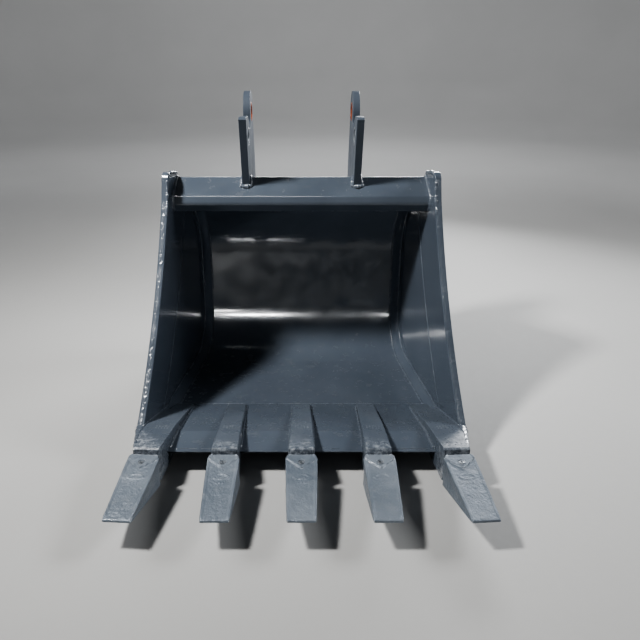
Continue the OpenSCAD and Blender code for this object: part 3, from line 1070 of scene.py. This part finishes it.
def makeCutEdges():
    verts, faces = [], []
    length, width = edgeSkin["along"], edgeSkin["across"] + 1
    margin, rough = edgeSkin["margin"], edgeSkin["rough"]
    for side in (-1, 1):
        base = len(verts)
        for i in range(length + 1):
            t = i / length
            y, z = frontEdge(t)
            a, b = frontEdge(max(t - 0.01, 0)), frontEdge(min(t + 0.01, 1))
            run = hypot(b[0] - a[0], b[1] - a[1])
            ny, nz = -(b[1] - a[1]) / run, (b[0] - a[0]) / run
            for j in range(width):
                u = j / edgeSkin["across"]
                depth = mix(margin, bucket["barThick"] - margin, u) / cos(bucket["taper"])
                fade = sin(pi * u) ** 0.4
                grain = rough * noise.noise(Vector((u * 3.0, i * 0.33, side * 9.0)))
                grain += 0.6 * rough * noise.noise(Vector((u * 8.0, i * 0.9, side * 5.0)))
                out = -edgeSkin["tuck"] * (1 - fade) + fade * (edgeSkin["proud"] + grain)
                verts.append(rest(side * wallAt(y, depth), y + ny * out, z + nz * out))
        for i in range(length):
            for j in range(edgeSkin["across"]):
                k = base + i * width + j
                faces.append((k, k + 1, k + 1 + width, k + width))
    addPiece("bar_cut_edges", verts, faces, flameCut, (), "painted_steel", angle=70.0)


makeCutEdges()
print("stage: front edges cut")

# Studio
studio = {
    "cameraAt": (0.0, -2.189, 0.290), "tilt": 23.3, "lens": 36.56, "shift": 0.0289,
    "sky": (0.40, 0.41, 0.43), "skyStrength": 0.07, "floorColour": (0.46, 0.46, 0.455),
    # radius and height of the floor's rings; it curves up into a wall all round
    "floorRows": ((3.0, 0.0), (7.0, 0.0), (8.0, 0.12), (9.0, 0.6), (9.6, 1.5), (9.8, 3.0), (9.8, 6.0)),
    "floorAround": 72,
    # cards that show in some pieces only, by the start of the pieces' names
    "seenIn": {
        "front_left_card": ("wrapper", "side_", "corner_strip", "lip_plate"),
        "front_right_card": ("wrapper", "side_", "corner_strip", "lip_plate"),
        "low_left_card": ("wrapper",),
        "top_card": ("torque_tube", "tube_welds", "ear_welds", "bar_cut_edges", "corner_build_up"),
        "edge_card": ("bar_cut_edges", "side_bar", "tube_welds", "corner_build_up"),
        "rim_card": ("torque_tube", "side_bar", "tube_welds"),
    },
    "lights": {
        # name: place, aim, size across, size up, watts, colour, spread of the beam in degrees
        "key_softbox": ((-1.70, -0.95, 2.00), (0.0, 0.1, -0.6), 0.36, 0.36, 47.0, (1.0, 0.99, 0.97), 100),
        "top_card": ((-0.45, -1.20, 2.20), (0.0, 0.0, -0.2), 1.30, 0.10, 7.0, (0.97, 0.985, 1.0), 110),
        "front_left_card": ((-0.46, -3.3, 0.32), (0.0, 0.2, -0.5), 0.50, 0.18, 6.5, (0.96, 0.98, 1.0), 60),
        "front_right_card": ((1.05, -3.3, 0.32), (0.0, 0.2, -0.5), 0.42, 0.18, 2.6, (0.96, 0.98, 1.0), 60),
        "low_left_card": ((-0.74, -3.2, -0.27), (-0.2, 0.3, -0.2), 0.24, 0.15, 1.2, (1.0, 1.0, 1.0), 60),
        "edge_card": ((-0.95, -1.10, 1.70), (-0.45, -0.1, -0.3), 0.24, 0.44, 15.0, (0.98, 0.99, 1.0), 60),
        "rim_card": ((-0.10, 1.70, 1.50), (0.0, 0.0, -0.1), 1.30, 0.30, 22.0, (0.98, 0.99, 1.0), 120),
        "back_key": ((1.2, 2.6, 0.6), (0.0, 0.2, -0.3), 1.40, 0.60, 34.0, (0.98, 0.99, 1.0), 120),
        "right_soft": ((3.0, 0.5, 1.5), (0.4, 0.2, -0.4), 1.60, 1.00, 34.0, (0.98, 0.99, 1.0), 110),
        "back_wall": ((0.5, 3.4, 2.9), (0.0, 8.0, -0.2), 2.4, 1.2, 190.0, (0.97, 0.98, 1.0), 170),
        "left_wall": ((-3.6, 0.8, 2.9), (-8.0, 0.8, -0.2), 2.4, 1.2, 150.0, (0.97, 0.98, 1.0), 170),
        "right_wall": ((3.6, 0.8, 2.9), (8.0, 0.8, -0.2), 2.4, 1.2, 150.0, (0.97, 0.98, 1.0), 170),
        "front_wall": ((0.0, -4.4, 3.2), (0.0, -9.0, 0.2), 2.4, 1.2, 70.0, (0.97, 0.98, 1.0), 170),
    },
}


def makeFloor():
    n = Nodes("pale_floor")
    base = studio["floorColour"]
    colour = n.blend(n.ramp(n.noise(1.4, 3.0), 0.3, 0.7), base, tuple(c * 0.96 for c in base))
    rough = n.ramp(n.noise(60.0, 4.0), 0.3, 0.7, 0.72, 0.88)
    material = n.finish(colour, rough, None, 0.0)
    low, around = cadBox[0][2], studio["floorAround"]
    verts = [(0.0, 0.0, low)]
    for radius, height in studio["floorRows"]:
        angles = [2 * pi * j / around for j in range(around)]
        verts += [(radius * cos(a), radius * sin(a), low + height) for a in angles]
    faces = [(0, 1 + j, 1 + (j + 1) % around) for j in range(around)]
    for i in range(len(studio["floorRows"]) - 1):
        for j in range(around):
            a, b = 1 + i * around + j, 1 + i * around + (j + 1) % around
            faces.append((a, a + around, b + around, b))
    mesh = bpy.data.meshes.new("studio_floor")
    mesh.from_pydata(verts, [], faces)
    mesh.materials.append(material)
    for face in mesh.polygons:
        face.use_smooth = True
    addObject("studio_floor", mesh)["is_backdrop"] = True


def makeLights():
    world = bpy.data.worlds.new("studio")
    world.use_nodes = True
    world.node_tree.nodes["Background"].inputs["Color"].default_value = (*studio["sky"], 1.0)
    world.node_tree.nodes["Background"].inputs["Strength"].default_value = studio["skyStrength"]
    bpy.context.scene.world = world

    for name, (place, aim, across, up, watts, tint, spread) in studio["lights"].items():
        lamp = bpy.data.lights.new(name, "AREA")
        lamp.shape = "RECTANGLE"
        lamp.size, lamp.size_y = across, up
        lamp.energy = watts
        lamp.color = tint
        lamp.spread = radians(spread)
        light = addObject(name, lamp)
        light.location = place
        light.rotation_euler = (Vector(aim) - Vector(place)).to_track_quat("-Z", "Y").to_euler()
        # a card only shows as a reflection in the paint
        light.visible_diffuse = not name.endswith("_card")
        if name in studio["seenIn"]:
            mirrors = bpy.data.collections.new("pieces that show " + name)
            for piece in bpy.data.objects:
                if piece.name.startswith(studio["seenIn"][name]):
                    mirrors.objects.link(piece)
            light.light_linking.receiver_collection = mirrors


def makeCamera():
    lens = bpy.data.cameras.new("camera")
    lens.sensor_width = 36.0
    lens.lens = studio["lens"]
    lens.shift_x = studio["shift"]
    camera = addObject("camera", lens)
    camera.location = studio["cameraAt"]
    camera.rotation_euler = (radians(90.0 - studio["tilt"]), 0.0, 0.0)
    bpy.context.scene.camera = camera
    bpy.context.scene.view_settings.look = "AgX - Medium High Contrast"


makeFloor()
makeLights()
makeCamera()
print("stage: studio set")

boxes = {"cad": cadBox, "visual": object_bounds()}
{name: [list(end) for end in box] for name, box in boxes.items()}
